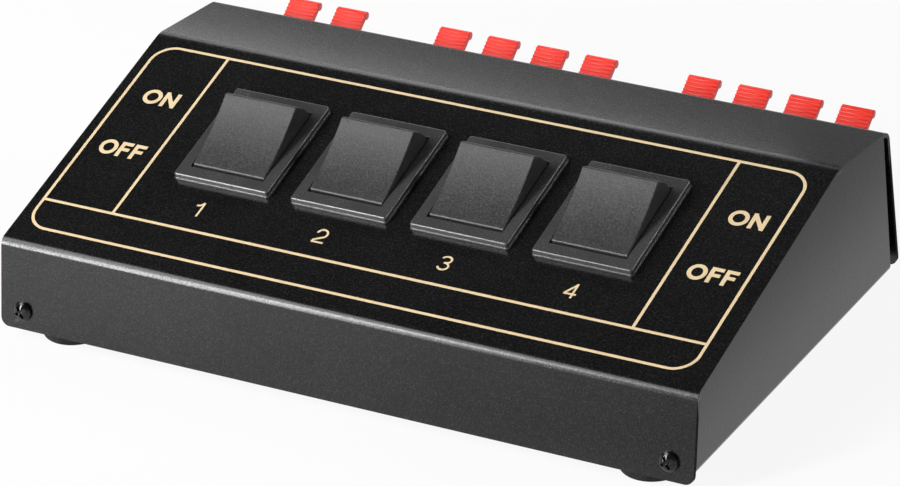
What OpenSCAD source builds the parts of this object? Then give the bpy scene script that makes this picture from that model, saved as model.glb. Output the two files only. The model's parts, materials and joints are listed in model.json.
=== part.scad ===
// Four-way loudspeaker selector switch: a folded steel case with a sloped control panel,
// four rocker switches on the slope and three push-terminal blocks on the rear flange.
// The origin is on the surface under the feet, at the middle of the whole part's box.
// X runs along the width, Y from the front to the rear, Z up.

/* [Case] */
// Width of the case
case_w = 180; // [176:1:200]
// Thickness of the sheet steel
sheet_t = 1; // [0.8:0.1:1.2]
// Height of the front flange
front_h = 20.8; // [19:0.1:24]
// How far the front flange leans back
front_lean = 3.7; // [0:0.1:6]
// Level depth of the sloped control panel
slope_d = 72.1; // [70:0.1:80]
// Rise of the sloped control panel
slope_h = 20.2; // [19:0.1:24]
// Level depth of the top strip
top_d = 25.9; // [22:0.1:34]
// Fall of the top strip towards the rear
top_fall = 2.8; // [0:0.1:4]
// Height of the rear flange
rear_h = 36.6; // [36:0.1:38]
// How far the rear flange leans out at the bottom
rear_lean = 4; // [2:0.1:6]
// Outer radius of the fold between front flange and slope
front_fold_r = 2.4; // [1.5:0.1:3]
// Outer radius of the fold between slope and top strip
ridge_fold_r = 8; // [3:0.5:10]
// Outer radius of the fold between top strip and rear flange
rear_fold_r = 2.8; // [1.5:0.1:3]
// Radius of the lower corners of the front and rear flanges
flange_corner_r = 2.2; // [1:0.1:4]
// Height of the tray's underside above the lower edge of the front flange
tray_lift = 1.6; // [1:0.1:2.5]
// Gap between the front flange and the edges of the side panels
edge_gap = 0.3; // [0.3:0.05:0.5]

/* [Feet] */
// Diameter of a foot
foot_d = 15.4; // [12:0.1:15.4]
// Radius of a foot's lower edge
foot_edge_r = 0.5; // [0.2:0.1:1.5]
// Height of the front flange's lower edge above the surface
foot_drop = 3; // [2:0.1:5]
// Distance of the feet from the middle
foot_x = 75.5; // [60:0.5:78]
// Distance of the front feet from the front edge
foot_front_y = 9.3; // [9.3:0.1:16]
// Distance of the rear feet from the front edge
foot_rear_y = 89.5; // [80:0.5:92]

/* [Screws] */
// Diameter of a screw head
screw_head_d = 4.7; // [4.5:0.1:6]
// Height of a screw head
screw_head_h = 1.6; // [1.5:0.1:2.2]
// Diameter of a screw shank
screw_d = 2.6; // [2.5:0.1:3]
// Distance of the front screws from the middle
front_screw_x = 83.9; // [80:0.1:84]
// Height of the front screws up the front flange
front_screw_up = 4.6; // [4.6:0.1:7]
// Distance of the bottom screws from the middle
bottom_screw_x = 60; // [40:1:66]

/* [Switches] */
// Distance between neighbouring switches
switch_pitch = 31.4; // [30:0.1:36]
// Offset of the switch row from the middle
switch_shift = 0.1; // [0:0.1:1]
// Distance of the switch row up the slope
switch_up = 45.1; // [42:0.1:50]
// Width of a bezel
bezel_w = 25.3; // [25:0.1:27]
// Length of a bezel
bezel_l = 30.8; // [30:0.1:32]
// Height of a bezel above the panel
bezel_h = 1.8; // [1.6:0.1:3]
// Height of the bezel's wider lower step
bezel_step_h = 0.5; // [0.4:0.1:1.2]
// How far the lower step stands out all round
bezel_step = 0.2; // [0.1:0.05:0.5]
// Width of the bezel's opening
opening_w = 19.7; // [19.7:0.1:20]
// Length of the bezel's opening
opening_l = 24.4; // [24.1:0.1:25]
// Tilt of a rocker to either side of the middle
rocker_tilt = 18.5; // [14:0.5:18.5]
// Radius of a rocker's round ends about its pivot
rocker_r = 11.6; // [11.4:0.1:11.7]
// Height of the face's edges above the pivot
rocker_face_h = 6.4; // [6:0.1:6.8]
// Depth of the hollow in a rocker's face
rocker_dish = 0.7; // [0.4:0.1:0.8]
// Depth of a rocker's pivot below the panel's surface
pivot_drop = 1.2; // [1.2:0.1:1.6]

/* [Push terminals] */
// Distance between neighbouring levers
lever_pitch = 13.2; // [13:0.1:13.4]
// Width of a lever
lever_w = 8; // [7:0.1:8]
// Thickness of a lever
lever_t = 1.2; // [1:0.1:1.6]
// Length of a lever's tab from its pivot
lever_l = 11.3; // [10.5:0.1:12]
// Angle of a resting lever from the rear flange's normal
lever_rest = 29.8; // [28:0.1:30]
// Number of ribs on a lever
lever_ribs = 7; // [3:1:8]
// Distance of the blocks' middle line from the top of the rear flange
block_down = 18.6; // [18.6:0.1:19]
// Height of a block's flange
block_h = 30; // [29:0.1:30]
// Middle of the amplifier's block
input_x = -65.1; // [-66:0.1:-64]
// Middle of the first pair of speakers' block
block_a_x = -9.9; // [-11:0.1:-9]
// Middle of the second pair of speakers' block
block_b_x = 57; // [56:0.1:57]
// Side of a square wire hole
wire_hole = 3.2; // [3:0.1:3.4]

/* [Hidden] */
$fn = 48;
SWITCHES = [1:4];
BLOCKS = ["input", "a", "b"];
BLOCK_X = [input_x, block_a_x, block_b_x];
BLOCK_COLUMNS = [2, 4, 4];
ROWS = ["red", "black"];

steel_black = "#3b3b3d";
plastic_black = "#2a2a2b";
rocker_grey = "#4c4c4e";
metal_silver = "#b9bcc0";
metal_brass = "#c9a24a";

// Corners of the case's side outline, from the front flange's lower edge to the rear's
front_low = [0, 0];
front_top = [front_lean, front_h];
ridge = front_top + [slope_d, slope_h];
rear_top = ridge + [top_d, -top_fall];
rear_low = rear_top + [rear_lean, -rear_h];
case_path = [front_low, front_top, ridge, rear_top, rear_low];
case_folds = [front_fold_r, ridge_fold_r, rear_fold_r];
front_a = atan2(front_h, front_lean);
slope_a = atan2(slope_h, slope_d);
rear_a = atan2(rear_h, rear_lean);
rear_len = norm(rear_low - rear_top);

// Flats that a fold is divided into
fold_steps = 8;

// Depth of the cutters that go through a sheet
cut_depth = 6;

// Clearance round screws that pass through, and round rivets
hole_clear = 0.2;
rivet_clear = 0.1;

// Lengths of the screws' shanks
front_screw_l = 4;
bottom_screw_l = 3;

// Seat of a screw head on its sheet, and the radius of the head's dome
screw_seat = 0.05;
dome_rise = 0.6 * screw_head_h;
dome_r = (screw_head_d * screw_head_d / 4 + dome_rise * dome_rise) / (2 * dome_rise);

// Tray
tray_half = case_w / 2 - 0.1;
tray_side_h = 60;
tray_path = [
    [tray_half, tray_side_h],
    [tray_half, tray_lift],
    [-tray_half, tray_lift],
    [-tray_half, tray_side_h]
];
tray_fold_r = 1.8;
side_top_gap = 0.06;
side_top_rear_y = rear_top.x - 2.7;
side_low_rear_y = rear_low.x - 4.2;
plate_rear_y = rear_low.x - 1.6;
plate_margin = 20;
tab_w = 10;
tab_h = 11;
tab_root_l = 8;
tab_gap = 0.2;
lip_w = 14;
lip_l = 9;
lip_z = tray_lift + sheet_t + 0.1;
bottom_screw_y = rear_low.x - sheet_t - 5.2;

// Switches, from the panel's surface down
cutout_clear = 0.2;
body_w = 21.6;
body_l = 28;
body_depth = 16.5;
floor_depth = 15;
stub_r = 1.2;
pin_clear = 0.05;
pole_x = 4.7;
rocker_w = opening_w - 0.4;
rocker_edge = sqrt(rocker_r * rocker_r - rocker_face_h * rocker_face_h);
dish_r = (rocker_edge * rocker_edge + rocker_dish * rocker_dish) / (2 * rocker_dish);
rocker_wall = 1.6;
rocker_end_wall = 3;
skirt = 3.2;
stem_w = 5;
stem_end = 8.5;
plunger_r = 1.4;
plunger_l = 6;
plunger_reach = 11;
spring_l = 5.3;
spring_t = 0.4;
vee_depth = 12.6;
vee_a = 18;
vee_t = 0.5;
vee_l = 8;
vee_w = 3.6;
seesaw_tilt = 9;
contact_up = 7;
contact_depth = 12.9;
button_r = 1.2;
button_h = 0.7;
fixed_button_r = 1.4;
fixed_button_h = 0.6;
blade_w = 4.8;
blade_t = 0.8;
blade_depth = 22.5;

// Push-terminal blocks, from the rear flange's surface outwards
block_ear = 5.7;
block_plate_t = 2;
block_face = 5;
block_inner = 10;
cell_half = lever_pitch - 7.9;
pocket_half = lever_w / 2 + 0.3;
pocket_low = 5.6;
pocket_high = 12.8;
pocket_depth = 7;
rear_pocket_low = 0.9;
rear_pocket_depth = 6.5;
body_half_h = 13.6;
lever_pivot_up = 9;
lever_pivot_out = 1.5;
lever_pin_r = 0.9;
lever_pin_l = 0.9;
lever_face = 0.9;
lever_tip_r = 1;
lever_tip = [lever_face - lever_tip_r, lever_l - 0.4];
wire_hole_up = 3.2;
cam_l = 4.1;
leaf_t = 0.4;
leaf_out = -7;
leaf_top_out = -2.9;
rivet_r = 1.5;
rivet_head_r = 2.4;
rivet_head_h = 1;
rivet_tail_r = 2.1;
rivet_tail_h = 1.28;
seat_gap = 0.02;

// Leads
lead_r = 0.7;
lead_knee_r = 0.74;
bus_gap = 2.4;
eye_depth = blade_depth - 2;
tail_up = 1.4;
tail_out = -14;
tail_run = 6;
bus_end = 2;
bus_turn = 8;
bus_spread = 3;
lead_drop = 2.2;
knee_up = 18;
knee_drop = 3;

// Middle of the whole part's depth: from the front screw heads to the lower levers' round tips
tip_up = lever_pivot_up + lever_tip.x * cos(lever_rest) + lever_tip.y * sin(lever_rest);
tip_out = lever_pivot_out - lever_tip.x * sin(lever_rest) + lever_tip.y * cos(lever_rest);
part_rear = block_point(0, -tip_up, tip_out).y + lever_tip_r;
dome_middle = screw_seat + screw_head_h - dome_r;
part_front = front_screw_up * cos(front_a) - dome_middle * sin(front_a) - dome_r;
depth_mid = (part_front + part_rear) / 2;

function unit(v) = v / norm(v);
function right_of(v) = [v.y, -v.x];
function turn(a, b, c) = acos(unit(b - a) * unit(c - b));
function switch_x(i) = switch_shift + switch_pitch * (i - 2.5);
function block_w(b) = (BLOCK_COLUMNS[b] - 1) * lever_pitch + 2 * (cell_half + 0.7 + block_ear);
function column_x(b, c) = BLOCK_X[b] + lever_pitch * (c - (BLOCK_COLUMNS[b] + 1) / 2);

// Corner b of a path, moved to the right of the path by d on both its sides
function inset(a, b, c, d) =
    let (m = right_of(unit(b - a)), n = right_of(unit(c - b)))
    b + (m + n) * d / (1 + m * n);

// Point where the line from p along u reaches the height z
function at_height(p, u, z) = p + u * (z - p.y) / u.y;

// Points in the case's frame: up the slope and out of it, and up from a block's middle and out of it
function slope_point(x, up, out) = [
    x,
    front_top.x + up * cos(slope_a) - out * sin(slope_a),
    front_top.y + up * sin(slope_a) + out * cos(slope_a)
];
function block_point(x, up, out) = [
    x,
    rear_top.x + (block_down - up) * cos(rear_a) + out * sin(rear_a),
    rear_top.y - (block_down - up) * sin(rear_a) + out * cos(rear_a)
];

// Moves from the case's own frame, at the front flange's lower edge, to the part's frame
module in_case() translate([0, -depth_mid, foot_drop]) children();

// Frames on the case's outer faces: y runs up the face and z points out of it
module on_front() in_case() rotate([front_a, 0, 0]) children();
module on_slope() in_case() translate([0, front_top.x, front_top.y]) rotate([slope_a, 0, 0]) children();
module on_rear() in_case() translate([0, rear_top.x, rear_top.y]) rotate([rear_a, 0, 180]) children();
module on_switch(i) on_slope() translate([switch_x(i), switch_up, 0]) children();
module on_block(b) on_rear() translate([-BLOCK_X[b], -block_down, 0]) children();

// Extrudes a side view along X, with its x as Y and its y as Z
module along_x(w) rotate([90, 0, 90]) linear_extrude(w, center = true) children();

// Rectangle with round corners
module round_rect(w, l, r) {
    square([w - 2 * r, l], center = true);
    square([w, l - 2 * r], center = true);
    for (x = [-1, 1], y = [-1, 1]) translate([x * (w / 2 - r), y * (l / 2 - r)]) circle(r);
}

// What a round corner leaves of a square one, with the corner at the origin and the sheet at -x, -y
module corner_trim(r) linear_extrude(cut_depth, center = true) translate([-r, -r]) difference() {
    square(r + 1);
    circle(r);
}

// Points round a fold at b at radius r about a middle that lies outer_r to the right of the path a, b, c
function fold_points(a, b, c, outer_r, r) =
    let (m = right_of(unit(b - a)), middle = inset(a, b, c, outer_r), start = atan2(-m.y, -m.x))
    [
        for (k = [0:fold_steps])
            let (angle = start - turn(a, b, c) * k / fold_steps)
            middle + r * [cos(angle), sin(angle)]
    ];

// One side of a bent sheet: the path's own line at depth 0, and the line right of it at depth d
function bent_side(path, radii, d) =
    let (last = len(path) - 1, first_u = unit(path[1] - path[0]), last_u = unit(path[last] - path[last - 1]))
    concat(
        [path[0] + right_of(first_u) * d],
        [
            for (i = [1:last - 1])
                each fold_points(path[i - 1], path[i], path[i + 1], radii[i - 1], radii[i - 1] - d)
        ],
        [path[last] + right_of(last_u) * d]
    );

function reversed(list) = [for (i = [len(list) - 1:-1:0]) list[i]];

// Sheet of thickness t bent along a path, on the path's right
module bent_strip(path, radii, t)
    polygon(concat(bent_side(path, radii, 0), reversed(bent_side(path, radii, t))));

// Case

module cover() color(steel_black) difference() {
    union() {
        in_case() along_x(case_w) bent_strip(case_path, case_folds, sheet_t);
        for (side = [-1, 1]) in_case() rear_lip(side);
    }
    for (side = [-1, 1]) {
        on_front() scale([side, 1, 1]) translate([case_w / 2, 0, 0]) mirror([0, 1, 0])
            corner_trim(flange_corner_r);
        on_rear() scale([side, 1, 1]) translate([case_w / 2, -rear_len, 0]) mirror([0, 1, 0])
            corner_trim(flange_corner_r);
        on_front() translate([side * front_screw_x, front_screw_up, 0])
            through_hole(screw_d / 2 + hole_clear);
        in_case() translate([side * bottom_screw_x, bottom_screw_y, lip_z]) through_hole(screw_d / 2);
    }
    for (i = SWITCHES) on_switch(i)
        cube([body_w + 2 * cutout_clear, body_l + 2 * cutout_clear, cut_depth], center = true);
    for (b = [0:2]) on_block(b) {
        cube([block_body_w(b) + 2 * cutout_clear, 2 * (body_half_h + cutout_clear), cut_depth],
            center = true);
        for (side = [-1, 1]) translate([side * rivet_x(b), 0, 0]) through_hole(rivet_r + rivet_clear);
    }
}

module through_hole(r) cylinder(h = cut_depth, r = r, center = true);

// Inward lip at the rear flange's lower edge, which lies on the tray and takes a bottom screw
module rear_lip(side) {
    inner_y = at_height(rear_low - [sheet_t, 0], rear_top - rear_low, lip_z).x;
    translate([side * bottom_screw_x - lip_w / 2, inner_y - lip_l, lip_z])
        cube([lip_w, lip_l + sheet_t / 2, sheet_t]);
}

module base_tray() color(steel_black) difference() {
    in_case() union() {
        intersection() {
            translate([0, case_w, 0]) rotate([90, 0, 0]) linear_extrude(2 * case_w)
                bent_strip(tray_path, [tray_fold_r, tray_fold_r], sheet_t);
            along_x(case_w + 10) tray_side();
        }
        translate([-bottom_screw_x - plate_margin, side_low_rear_y - 1, tray_lift])
            cube([2 * (bottom_screw_x + plate_margin), plate_rear_y - side_low_rear_y + 1, sheet_t]);
        for (side = [-1, 1]) translate([side * front_screw_x, 0, 0]) along_x(tab_w) front_tab();
    }
    for (side = [-1, 1]) {
        on_front() translate([side * front_screw_x, front_screw_up, -front_screw_l - 0.2])
            cylinder(h = front_screw_l, r = screw_d / 2);
        in_case() translate([side * bottom_screw_x, bottom_screw_y, tray_lift])
            through_hole(screw_d / 2 + hole_clear);
    }
}

// Side view of the tray: it follows the inside of the cover and stops short of both flanges
module tray_side() {
    low = tray_lift - 1;
    high = ridge.y + 1;
    front_dir = front_top - front_low;
    front_line = front_low + right_of(unit(front_dir)) * (sheet_t + edge_gap);
    rear_low_end = [side_low_rear_y, low];
    rear_dir = [side_top_rear_y, rear_top.y - 1] - rear_low_end;
    intersection() {
        polygon([
            at_height(front_line, front_dir, low),
            at_height(front_line, front_dir, high),
            at_height(rear_low_end, rear_dir, high),
            rear_low_end
        ]);
        polygon(concat(
            bent_side([front_low, front_top, ridge, rear_top], case_folds, sheet_t + side_top_gap),
            [[rear_top.x, 0]]
        ));
    }
}

// Tab that stands up behind the front flange
module front_tab() {
    u = unit(front_top - front_low);
    root = at_height(front_low + right_of(u) * (sheet_t + tab_gap), u, tray_lift);
    bent_strip([[root.x + tab_root_l, tray_lift], root, root + u * tab_h], [tray_fold_r], sheet_t);
}

// Cross-recessed pan-head screw with the underside of its head at z = 0 and its shank at -z
module pan_screw(l) {
    recess_w = 0.75;
    recess_l = 3.1;
    difference() {
        union() {
            intersection() {
                cylinder(h = screw_head_h, d = screw_head_d);
                translate([0, 0, screw_head_h - dome_r]) sphere(dome_r, $fn = 64);
            }
            translate([0, 0, -l]) cylinder(h = l + 0.2, d = screw_d - 0.1);
        }
        for (a = [30, 120]) translate([0, 0, screw_head_h]) rotate([0, 0, a])
            cube([recess_l, recess_w, 2], center = true);
    }
}

module front_screws() color("#151515") for (side = [-1, 1])
    on_front() translate([side * front_screw_x, front_screw_up, screw_seat]) pan_screw(front_screw_l);

module bottom_screws() color("#151515") for (side = [-1, 1])
    in_case() translate([side * bottom_screw_x, bottom_screw_y, tray_lift - screw_seat])
        mirror([0, 0, 1]) pan_screw(bottom_screw_l);

// Round bumper with a rounded lower edge, hung under the tray at x, y in the case's frame
module foot(x, y) color("#1b1b1b") in_case() translate([x, y, -foot_drop]) rotate_extrude() {
    h = foot_drop + tray_lift - 0.02;
    square([foot_d / 2 - foot_edge_r, h]);
    translate([0, foot_edge_r]) square([foot_d / 2, h - foot_edge_r]);
    translate([foot_d / 2 - foot_edge_r, foot_edge_r]) circle(foot_edge_r);
}

// Switches

module switch_housing(i) color(plastic_black) on_switch(i) difference() {
    union() {
        linear_extrude(bezel_step_h) round_rect(bezel_w + 2 * bezel_step, bezel_l + 2 * bezel_step, 0.8);
        linear_extrude(bezel_h) round_rect(bezel_w, bezel_l, 0.6);
        translate([-body_w / 2, -body_l / 2, -body_depth]) cube([body_w, body_l, body_depth + 0.5]);
        for (end = [-1, 1]) scale([1, end, 1]) along_x(8) snap_wedge();
    }
    translate([-opening_w / 2, -opening_l / 2, -floor_depth]) cube([opening_w, opening_l, floor_depth + 10]);
    translate([0, 0, -pivot_drop]) rotate([0, 90, 0])
        cylinder(h = body_w + 2, r = stub_r + pin_clear, center = true);
    for (x = [-pole_x, pole_x], y = [0, -contact_up])
        translate([x, y, -floor_depth]) cube([blade_w + 0.2, blade_t + 0.2, 6], center = true);
}

// Barb that snaps in behind the panel
module snap_wedge() {
    barb = 0.9;
    barb_top = sheet_t + 0.15;
    polygon([
        [body_l / 2 - 0.5, -barb_top],
        [body_l / 2 + barb, -barb_top],
        [body_l / 2 + barb, -barb_top - 0.6],
        [body_l / 2, -barb_top - 4],
        [body_l / 2 - 0.5, -barb_top - 4]
    ]);
}

// Places a rocker's piece, drawn about the pivot in mid travel, at the tilt of the off position
module at_rocker(i) on_switch(i) translate([0, 0, -pivot_drop]) rotate([rocker_tilt, 0, 0]) children();

module rocker_side() difference() {
    intersection() {
        circle(rocker_r, $fn = 96);
        translate([-rocker_r, -skirt]) square([2 * rocker_r, rocker_r + skirt]);
    }
    translate([0, rocker_face_h - rocker_dish + dish_r]) circle(dish_r, $fn = 96);
}

module rocker(i) color(rocker_grey) at_rocker(i) {
    floor_h = rocker_face_h - rocker_dish;
    difference() {
        union() {
            along_x(rocker_w) rocker_side();
            rotate([0, 90, 0]) cylinder(h = body_w - 0.4, r = stub_r, center = true);
        }
        hollow_w = rocker_w - 2 * rocker_wall;
        hollow_l = 2 * (rocker_r - rocker_end_wall);
        translate([-hollow_w / 2, -hollow_l / 2, -skirt - 1])
            cube([hollow_w, hollow_l, skirt + 1 + floor_h - rocker_wall]);
    }
    for (x = [-pole_x, pole_x]) translate([x, 0, 0]) difference() {
        translate([-stem_w / 2, -stem_w / 2, -stem_end])
            cube([stem_w, stem_w, stem_end + floor_h - rocker_wall / 2]);
        translate([0, 0, -stem_end - 1]) cylinder(h = stem_end + 3, r = plunger_r + 0.1);
    }
}

module plungers(i) color(metal_brass) at_rocker(i) for (x = [-pole_x, pole_x]) {
    translate([x, 0, plunger_r - plunger_reach]) cylinder(h = plunger_l, r = plunger_r);
    translate([x, 0, plunger_r - plunger_reach]) sphere(plunger_r);
}

module plunger_springs(i) color(metal_silver) at_rocker(i) for (x = [-pole_x, pole_x])
    translate([x, 0, plunger_r - plunger_reach + plunger_l + 0.05]) difference() {
        cylinder(h = spring_l, r = plunger_r);
        translate([0, 0, -1]) cylinder(h = spring_l + 2, r = plunger_r - spring_t);
    }

// Two V-shaped moving contacts, tilted with their rear ends down in the off position
module seesaws(i) color(metal_brass) on_switch(i) for (x = [-pole_x, pole_x])
    translate([x, 0, -vee_depth - vee_t]) rotate([-seesaw_tilt, 0, 0]) {
        along_x(vee_w) polygon([
            [0, 0],
            [vee_l, vee_l * tan(vee_a)],
            [vee_l, vee_l * tan(vee_a) + vee_t],
            [0, vee_t],
            [-vee_l, vee_l * tan(vee_a) + vee_t],
            [-vee_l, vee_l * tan(vee_a)]
        ]);
        translate([0, -contact_up, contact_up * tan(vee_a)]) rotate([-vee_a, 0, 0])
            translate([0, 0, vee_t - 0.2 - button_h]) cylinder(h = button_h, r = button_r);
    }

// Four blades: the middle pair carries the moving contacts, the front pair the fixed ones
module terminals(i) color(metal_silver) on_switch(i) for (x = [-pole_x, pole_x]) {
    blade(x, 0, vee_depth + vee_t + 0.2);
    blade(x, -contact_up, contact_depth + 0.5);
    translate([x, -contact_up, -contact_depth - fixed_button_h])
        cylinder(h = fixed_button_h, r = fixed_button_r);
}

module blade(x, y, top) {
    eye_r = 0.8;
    difference() {
        translate([x - blade_w / 2, y - blade_t / 2, -blade_depth])
            cube([blade_w, blade_t, blade_depth - top]);
        translate([x, y, -blade_depth + 2]) rotate([90, 0, 0]) cylinder(h = 4, r = eye_r, center = true);
    }
}

// Push terminals

function block_body_w(b) = (BLOCK_COLUMNS[b] - 1) * lever_pitch + 2 * (cell_half + 0.7);
function rivet_x(b) = block_w(b) / 2 - block_ear / 2 + 0.1;

// Puts a cell's piece in each column and in both rows of a block, the lower row upside down
module each_cell(b) for (c = [1:BLOCK_COLUMNS[b]], up = [1, -1])
    translate([BLOCK_X[b] - column_x(b, c), 0, 0]) scale([1, up, 1]) children();

module terminal_block(b) color(plastic_black) on_block(b) difference() {
    union() {
        translate([0, 0, seat_gap]) linear_extrude(block_plate_t - seat_gap)
            round_rect(block_w(b), block_h, 1.5);
        translate([-block_body_w(b) / 2, -body_half_h, -block_inner])
            cube([block_body_w(b), 2 * body_half_h, block_inner + block_face]);
    }
    each_cell(b) {
        translate([-pocket_half, pocket_low, -pocket_depth])
            cube([2 * pocket_half, pocket_high - pocket_low, pocket_depth + block_face + 1]);
        translate([0, lever_pivot_up, lever_pivot_out]) rotate([0, 90, 0])
            cylinder(h = 2 * cell_half, r = lever_pin_r + pin_clear, center = true, $fn = 32);
        translate([-wire_hole / 2, wire_hole_up - wire_hole / 2, -block_inner])
            cube([wire_hole, wire_hole, block_inner + block_face + 1]);
        translate([-pocket_half, rear_pocket_low, -block_inner - 1])
            cube([2 * pocket_half, pocket_high - rear_pocket_low, block_inner + 1 - rear_pocket_depth]);
    }
    for (side = [-1, 1]) translate([side * rivet_x(b), 0, 0]) through_hole(rivet_r + rivet_clear);
}

// Side view of a lever about its pivot, with the tab along +y and the thumb's side at +x
module lever_side() {
    barrel_r = 1.6;
    rib_r = 0.24;
    rib_from = 4.6;
    rib_pitch = (lever_tip.y - 0.3 - rib_from) / (lever_ribs - 1);
    circle(barrel_r);
    translate([lever_face - lever_t, 0]) square([lever_t, lever_tip.y]);
    translate(lever_tip) circle(lever_tip_r);
    for (k = [0:lever_ribs - 1]) translate([lever_face, rib_from + k * rib_pitch]) circle(rib_r, $fn = 16);
    rotate(170) translate([-0.6, 0]) square([1.2, cam_l]);
}

module lever(b, row, c) color(row == 0 ? "#d8241f" : "#1d1d1d") on_block(b)
    translate([BLOCK_X[b] - column_x(b, c), 0, 0]) scale([1, 1 - 2 * row, 1])
        translate([0, lever_pivot_up, lever_pivot_out]) {
            along_x(lever_w) rotate(-lever_rest) lever_side();
            rotate([0, 90, 0])
                cylinder(h = lever_w + 2 * lever_pin_l, r = lever_pin_r, center = true, $fn = 32);
        }

// Clamp contacts: a leaf behind the wire's hole, stepped out to the lever's cam, with a solder tail
module clamps(b) color(metal_brass) on_block(b) each_cell(b) along_x(lever_w * 0.9) {
    tail_low = tail_up - leaf_t / 2;
    step_low = pocket_low + 0.4;
    translate([tail_low, tail_out]) square([leaf_t, leaf_out - tail_out]);
    translate([tail_low, leaf_out - leaf_t]) square([step_low + leaf_t - tail_low, leaf_t]);
    translate([step_low, leaf_out - leaf_t]) square([leaf_t, leaf_top_out - leaf_out + leaf_t]);
    translate([step_low, leaf_top_out - leaf_t]) square([pocket_high - 1 - step_low, leaf_t]);
}

module block_rivets() color("#8c8f93") for (b = [0:2], side = [-1, 1])
    on_block(b) translate([side * rivet_x(b), 0, 0]) {
        tail_low = -sheet_t - seat_gap - rivet_tail_h;
        translate([0, 0, tail_low + 0.3]) cylinder(h = block_plate_t + 0.5 - tail_low - 0.3, r = rivet_r);
        translate([0, 0, block_plate_t + seat_gap]) cylinder(h = rivet_head_h, r = rivet_head_r);
        translate([0, 0, tail_low]) cylinder(h = rivet_tail_h, r = rivet_tail_r);
    }

// Lead along straight stretches, with a ball at each knee
module lead(points) for (i = [1:len(points) - 1]) {
    run = points[i] - points[i - 1];
    translate(points[i - 1]) rotate([0, acos(run.z / norm(run)), atan2(run.y, run.x)])
        cylinder(h = norm(run), r = lead_r, $fn = 24);
    if (i < len(points) - 1) translate(points[i]) sphere(lead_knee_r, $fn = 24);
}

// Inside wiring: two buses under the switches' middle blades, a lead from each front blade to a
// speaker terminal, and one return bus along all the lower terminals
module leads() color("#a03028") in_case() {
    run_low = blade_depth + lead_drop;
    // Buses, with a stub to each middle blade, and their leads to the amplifier's terminals
    for (pole = [-1, 1]) {
        bus_up = switch_up - pole * bus_gap;
        left = switch_x(1) - pole_x - bus_turn - bus_spread * pole;
        tail_x = column_x(0, 1.5 - pole / 2);
        lead([
            slope_point(switch_x(4) + pole * pole_x + bus_end, bus_up, -eye_depth),
            slope_point(left, bus_up, -eye_depth),
            block_point(tail_x, tail_up, tail_out - tail_run),
            block_point(tail_x, tail_up, tail_out)
        ]);
        for (i = SWITCHES) lead([
            slope_point(switch_x(i) + pole * pole_x, switch_up - pole * blade_t / 2, -eye_depth),
            slope_point(switch_x(i) + pole * pole_x, bus_up, -eye_depth)
        ]);
    }
    // Speaker leads
    for (i = SWITCHES, pole = [-1, 1]) {
        x = switch_x(i) + pole * pole_x;
        tail_x = column_x(i < 3 ? 1 : 2, 2 * ((i - 1) % 2) + 1.5 + pole / 2);
        lead([
            slope_point(x, switch_up - contact_up, -blade_depth),
            slope_point(x, switch_up - contact_up, -run_low),
            slope_point(x, switch_up + knee_up, -run_low - knee_drop),
            block_point(tail_x, tail_up, tail_out - tail_run),
            block_point(tail_x, tail_up, tail_out)
        ]);
    }
    // Return bus
    lead([
        block_point(column_x(0, 1) - bus_end, -tail_up, tail_out - lead_r),
        block_point(column_x(2, 4) + bus_end, -tail_up, tail_out - lead_r)
    ]);
}

cover();
base_tray();
front_screws();
bottom_screws();
foot(-foot_x, foot_front_y);  // foot_front_left
foot(foot_x, foot_front_y);  // foot_front_right
foot(-foot_x, foot_rear_y);  // foot_rear_left
foot(foot_x, foot_rear_y);  // foot_rear_right
for (i = SWITCHES) {
    switch_housing(i);
    rocker(i);
    plungers(i);
    plunger_springs(i);
    seesaws(i);
    terminals(i);
}
for (b = [0:2]) {
    terminal_block(b);
    clamps(b);
    for (row = [0:1], c = [1:BLOCK_COLUMNS[b]])
        lever(b, row, c);
}
block_rivets();
leads();
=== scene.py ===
"""Looks for a four-way loudspeaker selector switch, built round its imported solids.

Lengths in the dataclasses are in millimetres; meshes are made in metres. The row frame has its
origin on the surface under the feet, X along the width, Y from front to rear and Z up.
"""

from __future__ import annotations

import json
import logging
import math
from collections.abc import Callable
from dataclasses import dataclass, field, replace
from enum import Enum

import bmesh
import bpy
from mathutils import Matrix, Vector

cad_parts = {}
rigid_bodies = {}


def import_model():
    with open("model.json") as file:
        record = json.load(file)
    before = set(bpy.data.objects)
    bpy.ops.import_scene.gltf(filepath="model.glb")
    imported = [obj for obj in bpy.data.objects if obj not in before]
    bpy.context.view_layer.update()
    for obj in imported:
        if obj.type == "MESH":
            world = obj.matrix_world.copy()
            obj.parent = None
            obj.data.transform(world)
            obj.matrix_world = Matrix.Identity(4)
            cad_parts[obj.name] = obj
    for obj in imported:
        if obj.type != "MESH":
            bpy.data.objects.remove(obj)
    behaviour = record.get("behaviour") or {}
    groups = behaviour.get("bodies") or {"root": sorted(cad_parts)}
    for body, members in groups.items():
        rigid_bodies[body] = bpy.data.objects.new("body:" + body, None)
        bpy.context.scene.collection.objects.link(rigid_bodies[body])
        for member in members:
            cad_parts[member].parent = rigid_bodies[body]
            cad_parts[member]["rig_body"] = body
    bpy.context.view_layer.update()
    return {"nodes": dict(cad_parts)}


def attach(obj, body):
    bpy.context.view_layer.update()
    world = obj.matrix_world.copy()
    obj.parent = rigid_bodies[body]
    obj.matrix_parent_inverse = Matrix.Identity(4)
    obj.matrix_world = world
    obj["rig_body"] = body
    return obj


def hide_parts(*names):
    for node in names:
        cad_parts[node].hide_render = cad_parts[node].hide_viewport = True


MM = 0.001
CASE_BODY = "case"
SWITCH_COUNT = 4
BLOCK_COLUMNS = {"input": 2, "a": 4, "b": 4}
LOG = logging.getLogger("selector_switch")

Point = tuple[float, float]
Colour = tuple[float, float, float]
EdgeShare = Callable[[Vector], float]


# ---- Places on the case ----


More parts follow.
